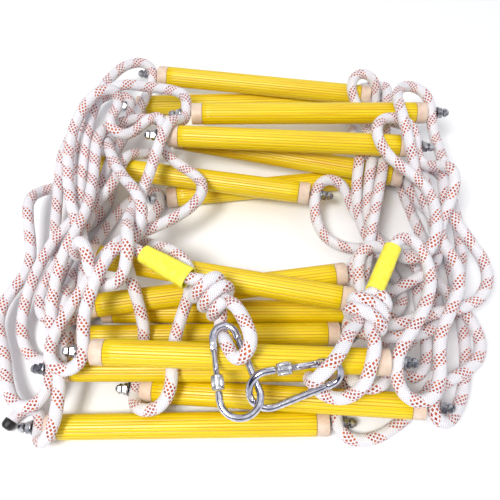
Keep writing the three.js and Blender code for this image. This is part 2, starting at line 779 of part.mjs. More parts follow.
function ropeGeometry(points, side) {
  let rope = toSolid(cordGeometry(points, ROPE_RADIUS, ROPE_SIDES));
  const face = RUNG_LENGTH / 2;
  const nut = face + 2 * (GAP + ROPE_RADIUS);
  const cutters = [
    prismAlongX(regularShape(6, SHANK_RADIUS + GAP), face - 1, nut),
    prismAlongX(regularShape(RUNG_SIDES, RUNG_RADIUS + TOUCH), face - PLUG_COLLAR, face + TOUCH),
    prismAlongX(regularShape(6, BOLT_RADIUS + TOUCH), nut - TOUCH, face + BOLT_REACH + TOUCH),
  ];
  for (const cutter of cutters) {
    if (side < 0) {
      cutter.rotateZ(Math.PI);
    }
    for (const { matrix } of FRAMES) {
      rope = rope.subtract(toSolid(cutter.clone().applyMatrix4(matrix)));
    }
  }
  return toGeometry(rope);
}

const [leftRoute, rightRoute] = thinRoutes();
addPiece('rope_left', ropeGeometry(leftRoute, -1), WHITE, 0.85, 0);
addPiece('rope_right', ropeGeometry(rightRoute, 1), WHITE, 0.85, 0);

// Sleeves, knots and eyes at the top of each rope.
function alignedMatrix(origin, along, across) {
  const x = along.clone().normalize();
  const z = new THREE.Vector3().crossVectors(x, across).normalize();
  const y = new THREE.Vector3().crossVectors(z, x);
  return new THREE.Matrix4().makeBasis(x, y, z).setPosition(origin);
}

function sleeveGeometry(lead, [width, height]) {
  const [from, to] = lead.sleeve.map((point) => new THREE.Vector3(...point));
  const outline = [];
  for (let n = 0; n < SLEEVE_SIDES; n += 1) {
    const angle = 2 * Math.PI * (n + 0.5) / SLEEVE_SIDES;
    outline.push(new THREE.Vector2(height * Math.cos(angle), width * Math.sin(angle)));
  }
  const section = new THREE.Shape(outline);
  section.holes.push(regularHole(SLEEVE_SIDES, SLEEVE_BORE));
  const sleeve = prismAlongX(section, SLEEVE_START, SLEEVE_START + SLEEVE_LENGTH);
  return sleeve.applyMatrix4(alignedMatrix(from, to.clone().sub(from), new THREE.Vector3(0, 1, 0)));
}

function knotGeometry(hitch, lead) {
  const centre = new THREE.Vector3(...hitch.knot);
  const toSleeve = new THREE.Vector3(...lead.sleeve[0]).sub(centre);
  const matrix = alignedMatrix(centre, toSleeve, new THREE.Vector3(0, 1, 0));
  matrix.scale(new THREE.Vector3(toSleeve.length() - 1.5, hitch.size[0], hitch.size[1]));
  const lump = toSolid(new THREE.SphereGeometry(1, KNOT_SIDES, KNOT_ROWS).applyMatrix4(matrix));
  const stops = hitch.eye.map((point) => new THREE.Vector3(...point));
  const eye = new THREE.CatmullRomCurve3(stops, false, 'centripetal').getSpacedPoints(EYE_STEPS);
  return toGeometry(lump.add(toSolid(cordGeometry(eye, ROPE_RADIUS, ROPE_SIDES))));
}

addPiece('sleeve_left', sleeveGeometry(LEFT_LEAD, LEFT_SLEEVE_HALF), LEMON, 0.5, 0);
addPiece('sleeve_right', sleeveGeometry(RIGHT_LEAD, RIGHT_SLEEVE_HALF), LEMON, 0.5, 0);
addPiece('knot_left', knotGeometry(LEFT_HITCH, LEFT_LEAD), WHITE, 0.85, 0);
addPiece('knot_right', knotGeometry(RIGHT_HITCH, RIGHT_LEAD), WHITE, 0.85, 0);

// Carabiners, drawn flat with the narrow bow on the origin, +X to the wide bow and the gate on +Y.
const LEAN = Math.asin((WIDE_BOW - NARROW_BOW) / BOW_SPACING);

function bowPoint(centre, radius, angle) {
  return new THREE.Vector3(centre + radius * Math.cos(angle), radius * Math.sin(angle), 0);
}

// A point on the straight gate side, at a distance along it from its narrow end.
function gatePoint(distance) {
  const start = bowPoint(0, NARROW_BOW, Math.PI / 2 + LEAN);
  return start.add(new THREE.Vector3(Math.cos(LEAN) * distance, Math.sin(LEAN) * distance, 0));
}

function framePath() {
  const path = [gatePoint(GATE_START - PIN_RADIUS)];
  for (let n = 0; n <= 7; n += 1) {
    path.push(bowPoint(0, NARROW_BOW, Math.PI / 2 + LEAN + (Math.PI - 2 * LEAN) * n / 7));
  }
  for (let n = 0; n <= 10; n += 1) {
    path.push(bowPoint(BOW_SPACING, WIDE_BOW, -Math.PI / 2 - LEAN + (Math.PI + 2 * LEAN) * n / 10));
  }
  path.push(gatePoint(NOSE_AT));
  return path;
}

function gateMatrix() {
  return new THREE.Matrix4().makeRotationZ(LEAN).setPosition(gatePoint(GATE_START));
}

function box(size, centre) {
  return toSolid(new THREE.BoxGeometry(...size).translate(...centre));
}

// A short cylinder standing across the carabiner.
function crossCylinder(radius, height, sides) {
  return toSolid(new THREE.CylinderGeometry(radius, radius, height, sides).rotateX(Math.PI / 2));
}

function pinHole() {
  return crossCylinder(PIN_RADIUS + GAP, 2 * FORK[2], PIN_SIDES);
}

function carabinerFrame() {
  const wire = toSolid(cordGeometry(framePath(), WIRE_RADIUS, ROPE_SIDES));
  const fork = box(FORK, [FORK_SETBACK, 0, 0]).transform(gateMatrix().elements);
  const slot = box(FORK_SLOT, [SLOT_SETBACK, 0, 0]).transform(gateMatrix().elements);
  const hole = pinHole().transform(gateMatrix().elements);
  return toGeometry(wire.add(fork).subtract(slot).subtract(hole));
}

function carabinerGate() {
  const length = NOSE_AT - GATE_START - GAP - 0.2;
  const rod = toSolid(prismAlongX(regularShape(10, GATE_RADIUS * 0.96), 6.6, length));
  const [reach, width, thickness] = TONGUE;
  const tongue = box(TONGUE, [reach / 2, 0, 0]).add(crossCylinder(width / 2, thickness, 12));
  return toGeometry(rod.add(tongue).subtract(pinHole()));
}

function lockNut() {
  const section = regularShape(12, NUT_RADIUS);
  section.holes.push(regularHole(12, GATE_RADIUS + GAP));
  const end = NOSE_AT - GATE_START - GAP - 0.6;
  return prismAlongX(section, end - NUT_LENGTH, end);
}

function addCarabiner(side, link) {
  const along = new THREE.Vector3(...link.along);
  const across = new THREE.Vector3(...link.gate);
  const place = alignedMatrix(new THREE.Vector3(...link.at), along, across);
  const onGate = place.clone().multiply(gateMatrix());
  const pin = toGeometry(crossCylinder(PIN_RADIUS, FORK[2], PIN_SIDES));
  addPiece(`carabiner_${side}_frame`, carabinerFrame().applyMatrix4(place), STEEL, 0.25, 1);
  addPiece(`carabiner_${side}_gate`, carabinerGate().applyMatrix4(onGate), STEEL, 0.25, 1);
  addPiece(`carabiner_${side}_lock_nut`, lockNut().applyMatrix4(onGate), DULL_STEEL, 0.35, 1);
  addPiece(`carabiner_${side}_hinge_pin`, pin.applyMatrix4(onGate), DARK_STEEL, 0.35, 1);
}

addCarabiner('left', LEFT_LINK);
addCarabiner('right', RIGHT_LINK);

// The origin sits under the middle of the rungs and carabiners, on the standing surface.
const firm = new THREE.Box3();
for (const mesh of group.children) {
  mesh.geometry.computeBoundingBox();
  if (/^(rung|carabiner)/.test(mesh.name)) {
    firm.union(mesh.geometry.boundingBox);
  }
}
const middle = firm.getCenter(new THREE.Vector3());
for (const mesh of group.children) {
  mesh.geometry.translate(-middle.x, -middle.y, -firm.min.z);
}

export default group;
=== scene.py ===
# Escape rope ladder, folded into two piles of rungs, with its ropes gathered at the sides and its two
# carabiners linked at the front. Lengths named _MM are millimetres; everything placed is in metres.
import math
import bpy
import numpy as np
from mathutils import Matrix, Vector
from mathutils.bvhtree import BVHTree


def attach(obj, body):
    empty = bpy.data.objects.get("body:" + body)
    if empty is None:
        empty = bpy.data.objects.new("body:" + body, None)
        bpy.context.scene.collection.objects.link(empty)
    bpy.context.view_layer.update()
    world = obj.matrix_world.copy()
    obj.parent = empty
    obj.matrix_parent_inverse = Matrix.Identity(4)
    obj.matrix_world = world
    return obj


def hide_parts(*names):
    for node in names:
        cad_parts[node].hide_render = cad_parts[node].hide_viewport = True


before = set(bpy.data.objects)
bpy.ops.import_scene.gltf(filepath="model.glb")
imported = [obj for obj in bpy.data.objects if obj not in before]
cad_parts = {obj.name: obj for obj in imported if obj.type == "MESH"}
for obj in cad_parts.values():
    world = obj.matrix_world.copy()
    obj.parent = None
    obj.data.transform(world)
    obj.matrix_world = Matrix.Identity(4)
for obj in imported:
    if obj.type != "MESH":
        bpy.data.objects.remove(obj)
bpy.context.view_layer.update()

MM = 0.001
SIDES = ("left", "right")

# The row frame's origin in the frame that the ladder is drawn in.
ORIGIN_MM = np.array([1.8025, 18.8699, 0.0])

RUNG_NUMBERS = range(1, 16)
RUNG_LENGTH = 0.290
RUNG_RADIUS = 0.0131
PLUG_COLLAR = 0.013
TUBE_WALL = 0.0022
FLUTES = 22
FLUTE_DEPTH = 0.0004
ROPE_RADIUS = 0.0065
ROPE_SIDES = 32
ROPE_RING = 0.0022
ROPE_FACE = 0.0138
BOLT_REACH = 0.029
SLEEVE_LENGTH = 0.057
SLEEVE_BORE = 0.0071
WIRE_RADIUS = 0.0036
NARROW_BOW = 0.0115
WIDE_BOW = 0.019
BOW_SPACING = 0.057
GATE_START = 0.004
NOSE_AT = 0.049
GATE_RADIUS = 0.0031
NUT_RADIUS = 0.0059
NUT_LENGTH = 0.014

# The angle between a carabiner's straight sides and the line through its two bows.
LEAN = math.asin((WIDE_BOW - NARROW_BOW) / BOW_SPACING)

# The tied top of each rope: the sleeve's two ends, the knot's middle, and the eye round the carabiner.
HITCHES_MM = {
    "left": {
        "sleeve": [(-60, -92, 100), (-112, -60, 98)],
        "sleeve_half": (12.4, 8.8),
        "knot": (-36, -108, 97),
        "eye": [
            (-14, -126, 112), (-4, -146, 117), (1, -162, 119), (-2, -174, 116), (-11, -179, 107.5),
            (-18, -170, 102.4), (-23.7, -156.3, 98.6), (-27, -146, 87), (-30, -134, 81),
        ],
    },
    "right": {
        "sleeve": [(123, -106, 98), (150, -50, 96)],
        "sleeve_half": (9.4, 9.2),
        "knot": (114, -128, 97),
        "eye": [
            (94, -152, 110), (85, -170, 118), (76, -184, 121), (65, -195, 118), (57, -200, 108),
            (55.5, -193.5, 96), (56.5, -189, 86), (61, -192, 74), (72, -200, 67), (86, -204, 69),
            (98, -202, 77), (108, -194, 90), (114, -177, 102), (118, -158, 103),
        ],
    },
}

# Where a rope's cut end lies after its last rung, from the clamp onwards.
TAILS_MM = {
    "left": [
        (-216, -204, 12), (-220, -197, 9.5), (-227, -194, 7.6), (-236, -195.5, 7.2),
        (-244, -201, 7.2), (-249, -208, 7.2), (-252, -216, 7.2),
    ],
}

# Carabiners: middle of the narrow bow, the way to the wide bow and the side the gate is on.
LINKS_MM = {
    "left": ((-24, -154, 100), (15, -55, -10), (-1, 0, 0)),
    "right": ((73, -188, 96), (-56, -14, -5), (-0.16, 0.68, 0.72)),
}

# The lens is this many times as long as the picture is wide.
CAMERA_MM = np.array([0.0, -367.5, 636.5])
AIM_MM = np.array([0.0, 0.0, 0.0])
FOCAL_SHARE = 1.2

LIGHT_AIM = Vector((0, 0, 0.03))
FLOOR_REACH = 6
FLOOR_DROP = 0.0006

# The surroundings by height: pale low down, a dark band for the steel to mirror, and white overhead.
BAND_COLOUR = (0.035, 0.035, 0.08)
SKY = [(0.30, (0.80, 0.81, 0.84)), (0.42, BAND_COLOUR), (0.66, BAND_COLOUR), (0.86, (1, 1, 1))]
SKY_STRENGTH = 0.95

# The rope's pattern: rows and columns of red dots, spiral bands of them, and the twill of the white yarn with
# painted shade in its grooves.
DOT_ROW = 0.0030
DOT_COLUMNS = 9.0
BAND_PITCH = 0.029
BAND_HALF_SHARE = 0.26
TWILL_ROW = 0.0021
TWILL_LEANS = 14.0


def placed(point_mm):
    """A drawn point in the row frame, in metres."""
    return Vector((np.array(point_mm, dtype=float) - ORIGIN_MM) * MM)


def unit(vector):
    return Vector(vector).normalized()


# ---------------------------------------------------------------- camera, light and floor

def add_camera():
    data = bpy.data.cameras.new("camera")
    data.sensor_width = 36
    data.sensor_height = 36
    data.sensor_fit = "HORIZONTAL"
    data.lens = data.sensor_width * FOCAL_SHARE
    camera = bpy.data.objects.new("camera", data)
    bpy.context.scene.collection.objects.link(camera)
    camera.location = placed(CAMERA_MM)
    aim = placed(AIM_MM) - camera.location
    camera.rotation_euler = aim.to_track_quat("-Z", "Y").to_euler()
    bpy.context.scene.camera = camera
    bpy.context.scene.view_settings.view_transform = "Standard"


def add_light(name, location, size, power, colour):
    data = bpy.data.lights.new(name, "AREA")
    data.shape = "DISK"
    data.size = size
    data.energy = power
    data.color = colour
    light = bpy.data.objects.new(name, data)
    light.location = location
    light.rotation_euler = (LIGHT_AIM - Vector(location)).to_track_quat("-Z", "Y").to_euler()
    bpy.context.scene.collection.objects.link(light)


def add_floor():
    mesh = bpy.data.meshes.new("floor")
    reach = FLOOR_REACH
    corners = [(-reach, -reach, 0), (reach, -reach, 0), (reach, reach, 0), (-reach, reach, 0)]
    mesh.from_pydata(corners, [], [(0, 1, 2, 3)])
    floor = bpy.data.objects.new("floor", mesh)
    floor.location.z = -FLOOR_DROP
    bpy.context.scene.collection.objects.link(floor)
    material = bpy.data.materials.new("floor")
    material.use_nodes = True
    shader = material.node_tree.nodes["Principled BSDF"]
    shader.inputs["Base Color"].default_value = (0.93, 0.94, 0.95, 1)
    shader.inputs["Roughness"].default_value = 0.75
    floor.data.materials.append(material)


def fill_ramp(node, stops):
    """Gives a colour ramp its stops, each a position and a colour."""
    elements = node.color_ramp.elements
    while len(elements) < len(stops):
        elements.new(0.5)
    for element, (position, colour) in zip(elements, stops):
        element.position = position
        element.color = (*colour, 1)


def add_world():
    world = bpy.data.worlds.new("studio")
    world.use_nodes = True
    nodes = world.node_tree.nodes
    links = world.node_tree.links
    where = nodes.new("ShaderNodeTexCoord")
    split = nodes.new("ShaderNodeSeparateXYZ")
    ramp = nodes.new("ShaderNodeValToRGB")
    fill_ramp(ramp, SKY)
    links.new(where.outputs["Generated"], split.inputs[0])
    links.new(split.outputs["Z"], ramp.inputs["Fac"])
    links.new(ramp.outputs["Color"], nodes["Background"].inputs["Color"])
    nodes["Background"].inputs["Strength"].default_value = SKY_STRENGTH
    bpy.context.scene.world = world


# ---------------------------------------------------------------- materials

class Graph:
    """A material's node tree, with short calls for the sums that a pattern is made of."""

    def __init__(self, name):
        self.material = bpy.data.materials.new(name)
        self.material.use_nodes = True
        self.nodes = self.material.node_tree.nodes
        self.links = self.material.node_tree.links
        self.shader = self.nodes["Principled BSDF"]

    def put(self, value, socket):
        if isinstance(value, (int, float)):
            socket.default_value = value
        elif isinstance(value, tuple):
            socket.default_value = (*value, 1)
        else:
            self.links.new(value, socket)

    def math(self, operation, *values):
        node = self.nodes.new("ShaderNodeMath")
        node.operation = operation
        for value, socket in zip(values, node.inputs):
            self.put(value, socket)
        return node.outputs[0]

    def times(self, first, second):
        return self.math("MULTIPLY", first, second)

    def plus(self, first, second):
        return self.math("ADD", first, second)

    def off_centre(self, value):
        """How far a value's fraction is from a half."""
        return self.math("ABSOLUTE", self.math("SUBTRACT", self.math("FRACT", value), 0.5))

    def lay(self):
        """The distance along a piece in metres, and the share of the way around it."""
        node = self.nodes.new("ShaderNodeUVMap")
        node.uv_map = "lay"
        split = self.nodes.new("ShaderNodeSeparateXYZ")
        self.links.new(node.outputs[0], split.inputs[0])
        return split.outputs["X"], split.outputs["Y"]

    def combine(self, x, y, z=0.0):
        node = self.nodes.new("ShaderNodeCombineXYZ")
        for value, socket in zip((x, y, z), node.inputs):
            self.put(value, socket)
        return node.outputs[0]

    def noise(self, vector, scale, detail=3.0):
        node = self.nodes.new("ShaderNodeTexNoise")
        node.inputs["Scale"].default_value = scale
        node.inputs["Detail"].default_value = detail
        self.links.new(vector, node.inputs["Vector"])
        return node.outputs["Fac"]

    def streaks(self, along, around, scale):
        """Noise drawn out over a surface by scaled distances along it and around it."""
        return self.noise(self.combine(along, around), scale)

    def place(self):
        return self.nodes.new("ShaderNodeTexCoord").outputs["Object"]

    def ramp(self, value, *stops):
        node = self.nodes.new("ShaderNodeValToRGB")
        fill_ramp(node, stops)
        self.links.new(value, node.inputs["Fac"])
        return node.outputs["Color"]

    def mix(self, share, first, second):
        node = self.nodes.new("ShaderNodeMix")
        node.data_type = "RGBA"
        self.put(share, node.inputs["Factor"])
        self.put(first, node.inputs["A"])
        self.put(second, node.inputs["B"])
        return node.outputs["Result"]

    def bump(self, height, strength, distance):
        node = self.nodes.new("ShaderNodeBump")
        node.inputs["Strength"].default_value = strength
        node.inputs["Distance"].default_value = distance
        self.links.new(height, node.inputs["Height"])
        self.links.new(node.outputs[0], self.shader.inputs["Normal"])

    def set(self, **values):
        for name, value in values.items():
            self.put(value, self.shader.inputs[name.replace("_", " ")])
        return self.material


def clear_edge(graph, value, edge, softness):
    """1 where value is below edge, 0 above it, with a short soft step between."""
    node = graph.nodes.new("ShaderNodeMapRange")
    node.interpolation_type = "SMOOTHSTEP"
    graph.put(value, node.inputs["Value"])
    node.inputs["From Min"].default_value = edge - softness
    node.inputs["From Max"].default_value = edge + softness
    node.inputs["To Min"].default_value = 1
    node.inputs["To Max"].default_value = 0
    return node.outputs["Result"]


def rope_material(name, hand):
    """Plaited white rope: a fine twill in two leans with painted shade in its grooves, and red tracer
    diamonds inside spiral bands.
    """
    graph = Graph(name)
    along, around = graph.lay()
    row = graph.math("DIVIDE", along, DOT_ROW)
    stagger = graph.times(graph.math("PINGPONG", graph.math("FLOOR", row), 1.0), 0.5)
    column = graph.plus(graph.times(around, DOT_COLUMNS), stagger)
    reach = graph.plus(graph.times(graph.off_centre(column), 4.5), graph.times(graph.off_centre(row), 3.0))
    dot = clear_edge(graph, reach, 1.55, 0.08)
    spiral = graph.plus(graph.math("DIVIDE", along, BAND_PITCH), graph.times(around, hand))
    band = clear_edge(graph, graph.off_centre(spiral), BAND_HALF_SHARE, 0.012)

    lean = graph.math("PINGPONG", graph.times(around, TWILL_LEANS), 0.5)
    chevron = graph.math("MULTIPLY_ADD", lean, 1.5, graph.math("DIVIDE", along, TWILL_ROW))
    stitch = graph.math("SINE", graph.times(chevron, math.pi * 2))
    ridge = graph.math("SINE", graph.times(lean, math.pi * 2))
    weave = graph.math("MULTIPLY_ADD", stitch, 0.36, graph.math("MULTIPLY_ADD", ridge, 0.14, 0.5))
    place = graph.place()
    grime = graph.noise(place, 55.0)
    fibre = graph.noise(place, 2600.0, 2.0)
    # Painted shade: the twill's troughs are coloured a dark lavender grey and its crests near white, which
    # darkens the grooves between the yarns.
    painted_groove_shade, middle, crown = (0.30, 0.27, 0.36), (0.73, 0.705, 0.765), (0.95, 0.94, 0.95)
    white_with_painted_shade = graph.ramp(weave, (0.10, painted_groove_shade), (0.36, middle), (0.62, crown))
    # Grey grime patches laid over the white and its painted shade.
    patchy_shade_and_grime = graph.mix(graph.times(grime, 0.15), white_with_painted_shade, (0.58, 0.54, 0.58))
    red = graph.ramp(graph.noise(place, 300.0), (0.40, (0.30, 0.014, 0.006)), (0.60, (0.62, 0.125, 0.008)))
    colour = graph.mix(graph.times(dot, band), patchy_shade_and_grime, red)
    graph.bump(graph.plus(weave, graph.times(fibre, 0.35)), 0.55, 0.0006)
    rough = graph.math("MULTIPLY_ADD", weave, -0.15, 0.86)
    return graph.set(Base_Color=colour, Roughness=rough, Sheen_Weight=0.25, Sheen_Roughness=0.4)


def rung_material():
    """Yellow pultruded resin: long pale streaks, patchy painted orange shade in the flutes, small scuffs."""
    graph = Graph("rung_yellow")
    along, around = graph.lay()
    streak = graph.streaks(graph.times(along, 0.9), graph.times(around, 2.2), 9.0)
    fine = graph.streaks(graph.times(along, 1.4), graph.times(around, 9.0), 14.0)
    tone = graph.plus(graph.times(streak, 0.62), graph.times(fine, 0.38))
    deep, middle, pale = (0.76, 0.45, 0.001), (0.84, 0.62, 0.002), (0.89, 0.71, 0.006)
    base = graph.ramp(tone, (0.34, deep), (0.48, middle), (0.64, pale))
    # Painted shade: the flute grooves are mixed toward a dark orange, in patches set by a streaky noise.
    flute = graph.math("PINGPONG", graph.times(around, float(FLUTES)), 0.5)
    flute_shade = clear_edge(graph, flute, 0.12, 0.10)
    patchy_shade_and_grime = graph.streaks(graph.times(along, 0.5), graph.times(around, 3.0), 6.0)
    share = graph.times(flute_shade, graph.math("MULTIPLY_ADD", patchy_shade_and_grime, 1.6, -0.25))
    colour = graph.mix(share, base, (0.52, 0.22, 0.001))
    scuff = graph.noise(graph.place(), 160.0, 6.0)
    rough = graph.math("MULTIPLY_ADD", scuff, 0.28, 0.20)
    graph.bump(graph.plus(fine, graph.times(scuff, 0.3)), 0.16, 0.0005)
    return graph.set(Base_Color=colour, Roughness=rough, Subsurface_Weight=0.06, Subsurface_Scale=0.004,
                     Coat_Weight=0.06, Coat_Roughness=0.22)


def plug_material():
    """Cream moulded resin with faint mottling and grubby patches."""
    graph = Graph("plug_cream")
    place = graph.place()
    mottle = graph.noise(place, 95.0, 5.0)
    grub = graph.noise(place, 420.0, 4.0)
    deep, middle, pale = (0.68, 0.50, 0.38), (0.77, 0.61, 0.48), (0.82, 0.70, 0.58)
    base = graph.ramp(mottle, (0.3, deep), (0.55, middle), (0.75, pale))
    graph.bump(grub, 0.22, 0.0004)
    rough = graph.math("MULTIPLY_ADD", grub, 0.25, 0.36)
    return graph.set(Base_Color=base, Roughness=rough, Subsurface_Weight=0.18, Subsurface_Scale=0.006)


def sleeve_material():
    """Smooth lemon-yellow soft tube with a slight sheen and faint creases, painted a darker yellow in their
    hollows as shade.
    """
    graph = Graph("sleeve_lemon")
    along, around = graph.lay()
    crease_and_shade = graph.streaks(graph.times(along, 30.0), graph.times(around, 3.0), 6.0)
    # Painted shade: the yellow darkens where the crease noise is low, in the hollows of the creases' bump.
    base = graph.ramp(crease_and_shade, (0.3, (0.93, 0.78, 0.03)), (0.6, (0.99, 0.91, 0.09)))
    grain = graph.noise(graph.place(), 900.0)
    graph.bump(graph.plus(crease_and_shade, graph.times(grain, 0.2)), 0.2, 0.0006)
    rough = graph.math("MULTIPLY_ADD", crease_and_shade, 0.2, 0.34)
    return graph.set(Base_Color=base, Roughness=rough, Subsurface_Weight=0.12, Subsurface_Scale=0.004)


def steel_material(name, dark, pale, rough_low, rough_high, scratch):
    """Plated steel: fine drawn scratches, and cloudy patches where the plating has dulled."""
    graph = Graph(name)
    place = graph.place()
    cloud = graph.noise(place, 180.0, 5.0)
    grain = graph.noise(place, 2400.0, 3.0)
    base = graph.ramp(cloud, (0.35, dark), (0.65, pale))
    rough = graph.math("MULTIPLY_ADD", cloud, rough_high - rough_low, rough_low)
    graph.bump(grain, scratch, 0.0003)
    return graph.set(Base_Color=base, Roughness=rough, Metallic=1.0)


def tip_material():
    """Rope end sealed with a flame: black, glassy in places, with ashy flecks."""
    graph = Graph("melted_tip")
    place = graph.place()
    fleck = graph.noise(place, 900.0, 5.0)
    base = graph.ramp(fleck, (0.50, (0.005, 0.005, 0.006)), (0.74, (0.045, 0.030, 0.024)))
    graph.bump(graph.noise(place, 380.0, 4.0), 0.7, 0.001)
    rough = graph.math("MULTIPLY_ADD", fleck, 0.4, 0.18)
    return graph.set(Base_Color=base, Roughness=rough)


MATERIALS = {
    "rung": rung_material(),
    "plug": plug_material(),
    "rope_left": rope_material("rope_left_weave", 1.0),
    "rope_right": rope_material("rope_right_weave", -1.0),
    "sleeve": sleeve_material(),
    "steel": steel_material("plated_steel", (0.46, 0.46, 0.56), (0.74, 0.74, 0.82), 0.05, 0.13, 0.04),
    "nut": steel_material("knurled_steel", (0.46, 0.46, 0.50), (0.74, 0.74, 0.78), 0.20, 0.38, 0.12),
    "fastener": steel_material("fastener_steel", (0.18, 0.18, 0.20), (0.62, 0.63, 0.67), 0.18, 0.36, 0.16),
    "thread": steel_material("thread_steel", (0.06, 0.06, 0.07), (0.24, 0.24, 0.26), 0.35, 0.55, 0.20),
    "tip": tip_material(),
}


# ---------------------------------------------------------------- mesh helpers

def add_piece(name, vertices, faces, material, body, uvs=None, sharp=None):
    mesh = bpy.data.meshes.new(name)
    mesh.from_pydata([tuple(v) for v in vertices], [], faces)
    if uvs is not None:
        layer = mesh.uv_layers.new(name="lay")
        layer.data.foreach_set("uv", np.array(uvs, dtype=np.float32).ravel())
    mesh.polygons.foreach_set("use_smooth", [True] * len(mesh.polygons))
    if sharp is not None:
        mesh.set_sharp_from_angle(angle=math.radians(sharp))
    mesh.materials.append(MATERIALS[material])
    piece = bpy.data.objects.new(name, mesh)
    bpy.context.scene.collection.objects.link(piece)
    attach(piece, body)
    return piece


def skin(rings, along, closed=False):
    """Vertices, faces and UVs of a surface through rings of points, capped unless the rings join up."""
    count, sides = rings.shape[:2]
    faces = []
    uvs = []
    for i in range(count if closed else count - 1):
        n = (i + 1) % count
        for j in range(sides):
            k = (j + 1) % sides
            faces.append((i * sides + j, i * sides + k, n * sides + k, n * sides + j))
            low = j / sides
            high = (j + 1) / sides
            uvs += [(along[i], low), (along[i], high), (along[i + 1], high), (along[i + 1], low)]
    if not closed:
        faces.append(tuple(reversed(range(sides))))
        faces.append(tuple(range((count - 1) * sides, count * sides)))
        uvs += [(along[0], 0.5)] * sides + [(along[-1], 0.5)] * sides
    return rings.reshape(-1, 3), faces, uvs


def turned(profile, sides, shape=None):
    """Rings about the X axis from (distance along, radius) pairs; shape bends each radius by angle."""
    angles = 2 * np.pi * np.arange(sides) / sides
    bend = np.ones(sides) if shape is None else shape(angles)
    rings = np.zeros((len(profile), sides, 3))
    for i, (x, radius) in enumerate(profile):
        rings[i, :, 0] = x
        rings[i, :, 1] = radius * bend * np.cos(angles)
        rings[i, :, 2] = radius * bend * np.sin(angles)
    return rings


def moved(rings, matrix):
    flat = rings.reshape(-1, 3)
    rotated = flat @ np.array(matrix.to_3x3()).T + np.array(matrix.translation)
    return rotated.reshape(rings.shape)


def shifted(profile, start):
    return [(start + x, radius) for x, radius in profile]


def turned_piece(name, profile, sides, place, material, shape=None, sharp=None):
    """A piece of the ladder turned from a profile about the X axis of its place."""
    rings = moved(turned(profile, sides, shape), place)
    vertices, faces, uvs = skin(rings, [x for x, _ in profile])
    return add_piece(name, vertices, faces, material, "ladder", uvs, sharp)


def join(parts):
    """One list of vertices, faces and UVs from several."""
    vertices = []
    faces = []
    uvs = []
    for part_vertices, part_faces, part_uvs in parts:
        base = len(vertices)
        vertices += [tuple(v) for v in part_vertices]
        faces += [tuple(base + i for i in face) for face in part_faces]
        uvs += part_uvs
    return vertices, faces, uvs


def frames_along(points):
    """Tangents and two cross directions at every point, carried along without twisting."""
    tangents = np.gradient(points, axis=0)
    tangents /= np.linalg.norm(tangents, axis=1)[:, None]
    start = np.array([0.0, 0.0, 1.0]) if abs(tangents[0][2]) < 0.9 else np.array([1.0, 0.0, 0.0])
    normal = np.cross(np.cross(tangents[0], start), tangents[0])
    normals = []
    for tangent in tangents:
        normal = normal - tangent * np.dot(normal, tangent)
        normal /= np.linalg.norm(normal)
        normals.append(normal.copy())
    normals = np.array(normals)
    return tangents, normals, np.cross(tangents, normals)


def tube_rings(points, radii, sides):
    """Rings round a line of points; radii is one number, or one for each side of each ring."""
    _, normals, crosses = frames_along(points)
    angles = (2 * np.pi * np.arange(sides) / sides)[None, :, None]
    spokes = normals[:, None, :] * np.cos(angles) + crosses[:, None, :] * np.sin(angles)
    return points[:, None, :] + spokes * np.broadcast_to(radii, (len(points), sides))[:, :, None]


def lengths_along(points):
    steps = np.linalg.norm(np.diff(points, axis=0), axis=1)
    return np.concatenate([[0.0], np.cumsum(steps)])


def respaced(points, spacing):
    travelled = lengths_along(points)
    count = max(2, int(round(travelled[-1] / spacing)) + 1)
    stops = np.linspace(0, travelled[-1], count)
    return np.stack([np.interp(stops, travelled, points[:, axis]) for axis in range(3)], axis=1)


def smoothed(points, spread):
    """Points blurred along the line by a bell of this many points; the two ends stay."""
    reach = int(math.ceil(spread * 3))
    weights = np.exp(-0.5 * (np.arange(-reach, reach + 1) / spread) ** 2)
    weights /= weights.sum()
    before = 2 * points[0] - points[reach:0:-1]
    after = 2 * points[-1] - points[-2:-reach - 2:-1]
    padded = np.concatenate([before, points, after])
    return np.stack([np.convolve(padded[:, axis], weights, "valid") for axis in range(3)], axis=1)


def catmull(points, steps=12):
    """A smooth line through given points."""
    points = np.array(points, dtype=float)
    padded = np.concatenate([[2 * points[0] - points[1]], points, [2 * points[-1] - points[-2]]])
    line = []
    for i in range(1, len(padded) - 2):
        a, b, c, d = padded[i - 1:i + 3]
        for step in range(steps):
            t = step / steps
            line.append(0.5 * (2 * b + (c - a) * t + (2 * a - 5 * b + 4 * c - d) * t * t
                               + (3 * b - a - 3 * c + d) * t ** 3))
    line.append(points[-1])
    return np.array(line)


# ---------------------------------------------------------------- ropes

# Walking along the inside of a CAD rope: the step, the steps that may miss, the zone round a bolt hole that
# is crossed straight, and the probes that find the middle.
WALK = 0.003
BRIDGE = 4
HOLE_ZONE = 0.0085
PROBE_REACH = 0.0095
PROBES = 8
LEAST_PROBES = 4
CENTRING = 0.8
LOOK_BACK = 4

# The knot: its wraps in rope radii, how they start and end, and its doubled core as heights and sides.
WRAP_WIDE = 2.9
WRAP_DEEP = 2.0
WRAP_PITCH = 2.02
WRAP_TURNS = 2.6
WRAP_POINTS = 14
WRAP_TOP = 0.016
WRAP_START = 0.6
WRAP_BULGE = 0.10
TUCK_HEIGHT = -0.0255
TUCK_SHARE = 0.62
CORE_OUT = [(-0.019, -1), (-0.004, -1), (0.014, -1)]
CORE_BACK = [(0.014, 1), (-0.004, 1), (-0.018, 0.8)]

# Easing strands apart: how close they may press, which pairs are looked at, and how far one round moves them.
PRESSED_WIDTH = ROPE_RADIUS * 2 * 0.985
NEAR_GAP = 0.012
SAME_STRETCH = 7
PUSH_SHARE = 0.18
LARGEST_MOVE = 0.0008
CLEAR_ROUNDS = 30
FLOOR_GAP = 0.0003

